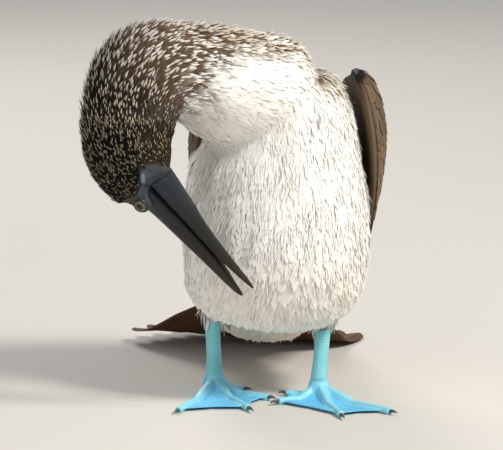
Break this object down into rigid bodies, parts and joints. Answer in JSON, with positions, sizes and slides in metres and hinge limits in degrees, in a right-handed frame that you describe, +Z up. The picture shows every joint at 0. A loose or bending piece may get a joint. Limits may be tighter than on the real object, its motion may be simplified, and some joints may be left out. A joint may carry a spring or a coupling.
{
  "type": "blue footed booby",
  "caption": "Still life-size model of a blue footed seabird that stands on webbed feet, its neck arched back over one shoulder and its bill lowered to preen the breast.",
  "frame": {"origin": "on the floor under the middle of the whole bird's bounding box", "axes": "+Z up; the bird faces -Y, so its tail points along +Y; +X is the bird's own left side"},
  "size_m": [0.2498, 0.3996, 0.3151],
  "materials": {
    "dark_plumage": "soft matte feathers, near black with pale streaks",
    "pale_neck_plumage": "soft matte feathers, brown with buff and white tips",
    "white_plumage": "soft fluffy white feathers",
    "brown_wing": "smooth brown flight feathers with a faint gloss",
    "brown_tail": "smooth brown tail feathers with pale shafts",
    "bill_horn": "smooth blue-grey horn, browner at the tip",
    "iris": "wet gloss over a pale yellow iris",
    "blue_leg_skin": "scaly turquoise blue skin",
    "blue_foot_skin": "sky blue webbed skin with fine radial creases",
    "claw_horn": "dark horn, satin"
  },
  "bodies": {
    "root": {"head": "dark_plumage", "neck": "pale_neck_plumage", "trunk": "white_plumage", "bill_upper": "bill_horn", "bill_lower": "bill_horn", "eye_left": "iris", "eye_right": "iris", "wing_left": "brown_wing", "wing_right": "brown_wing", "tail": "brown_tail", "leg_left": "blue_leg_skin", "foot_left": "blue_foot_skin", "claw_left_1": "claw_horn", "claw_left_2": "claw_horn", "claw_left_3": "claw_horn", "claw_left_4": "claw_horn", "leg_right": "blue_leg_skin", "foot_right": "blue_foot_skin", "claw_right_1": "claw_horn", "claw_right_2": "claw_horn", "claw_right_3": "claw_horn", "claw_right_4": "claw_horn"}
  },
  "joints": []
}
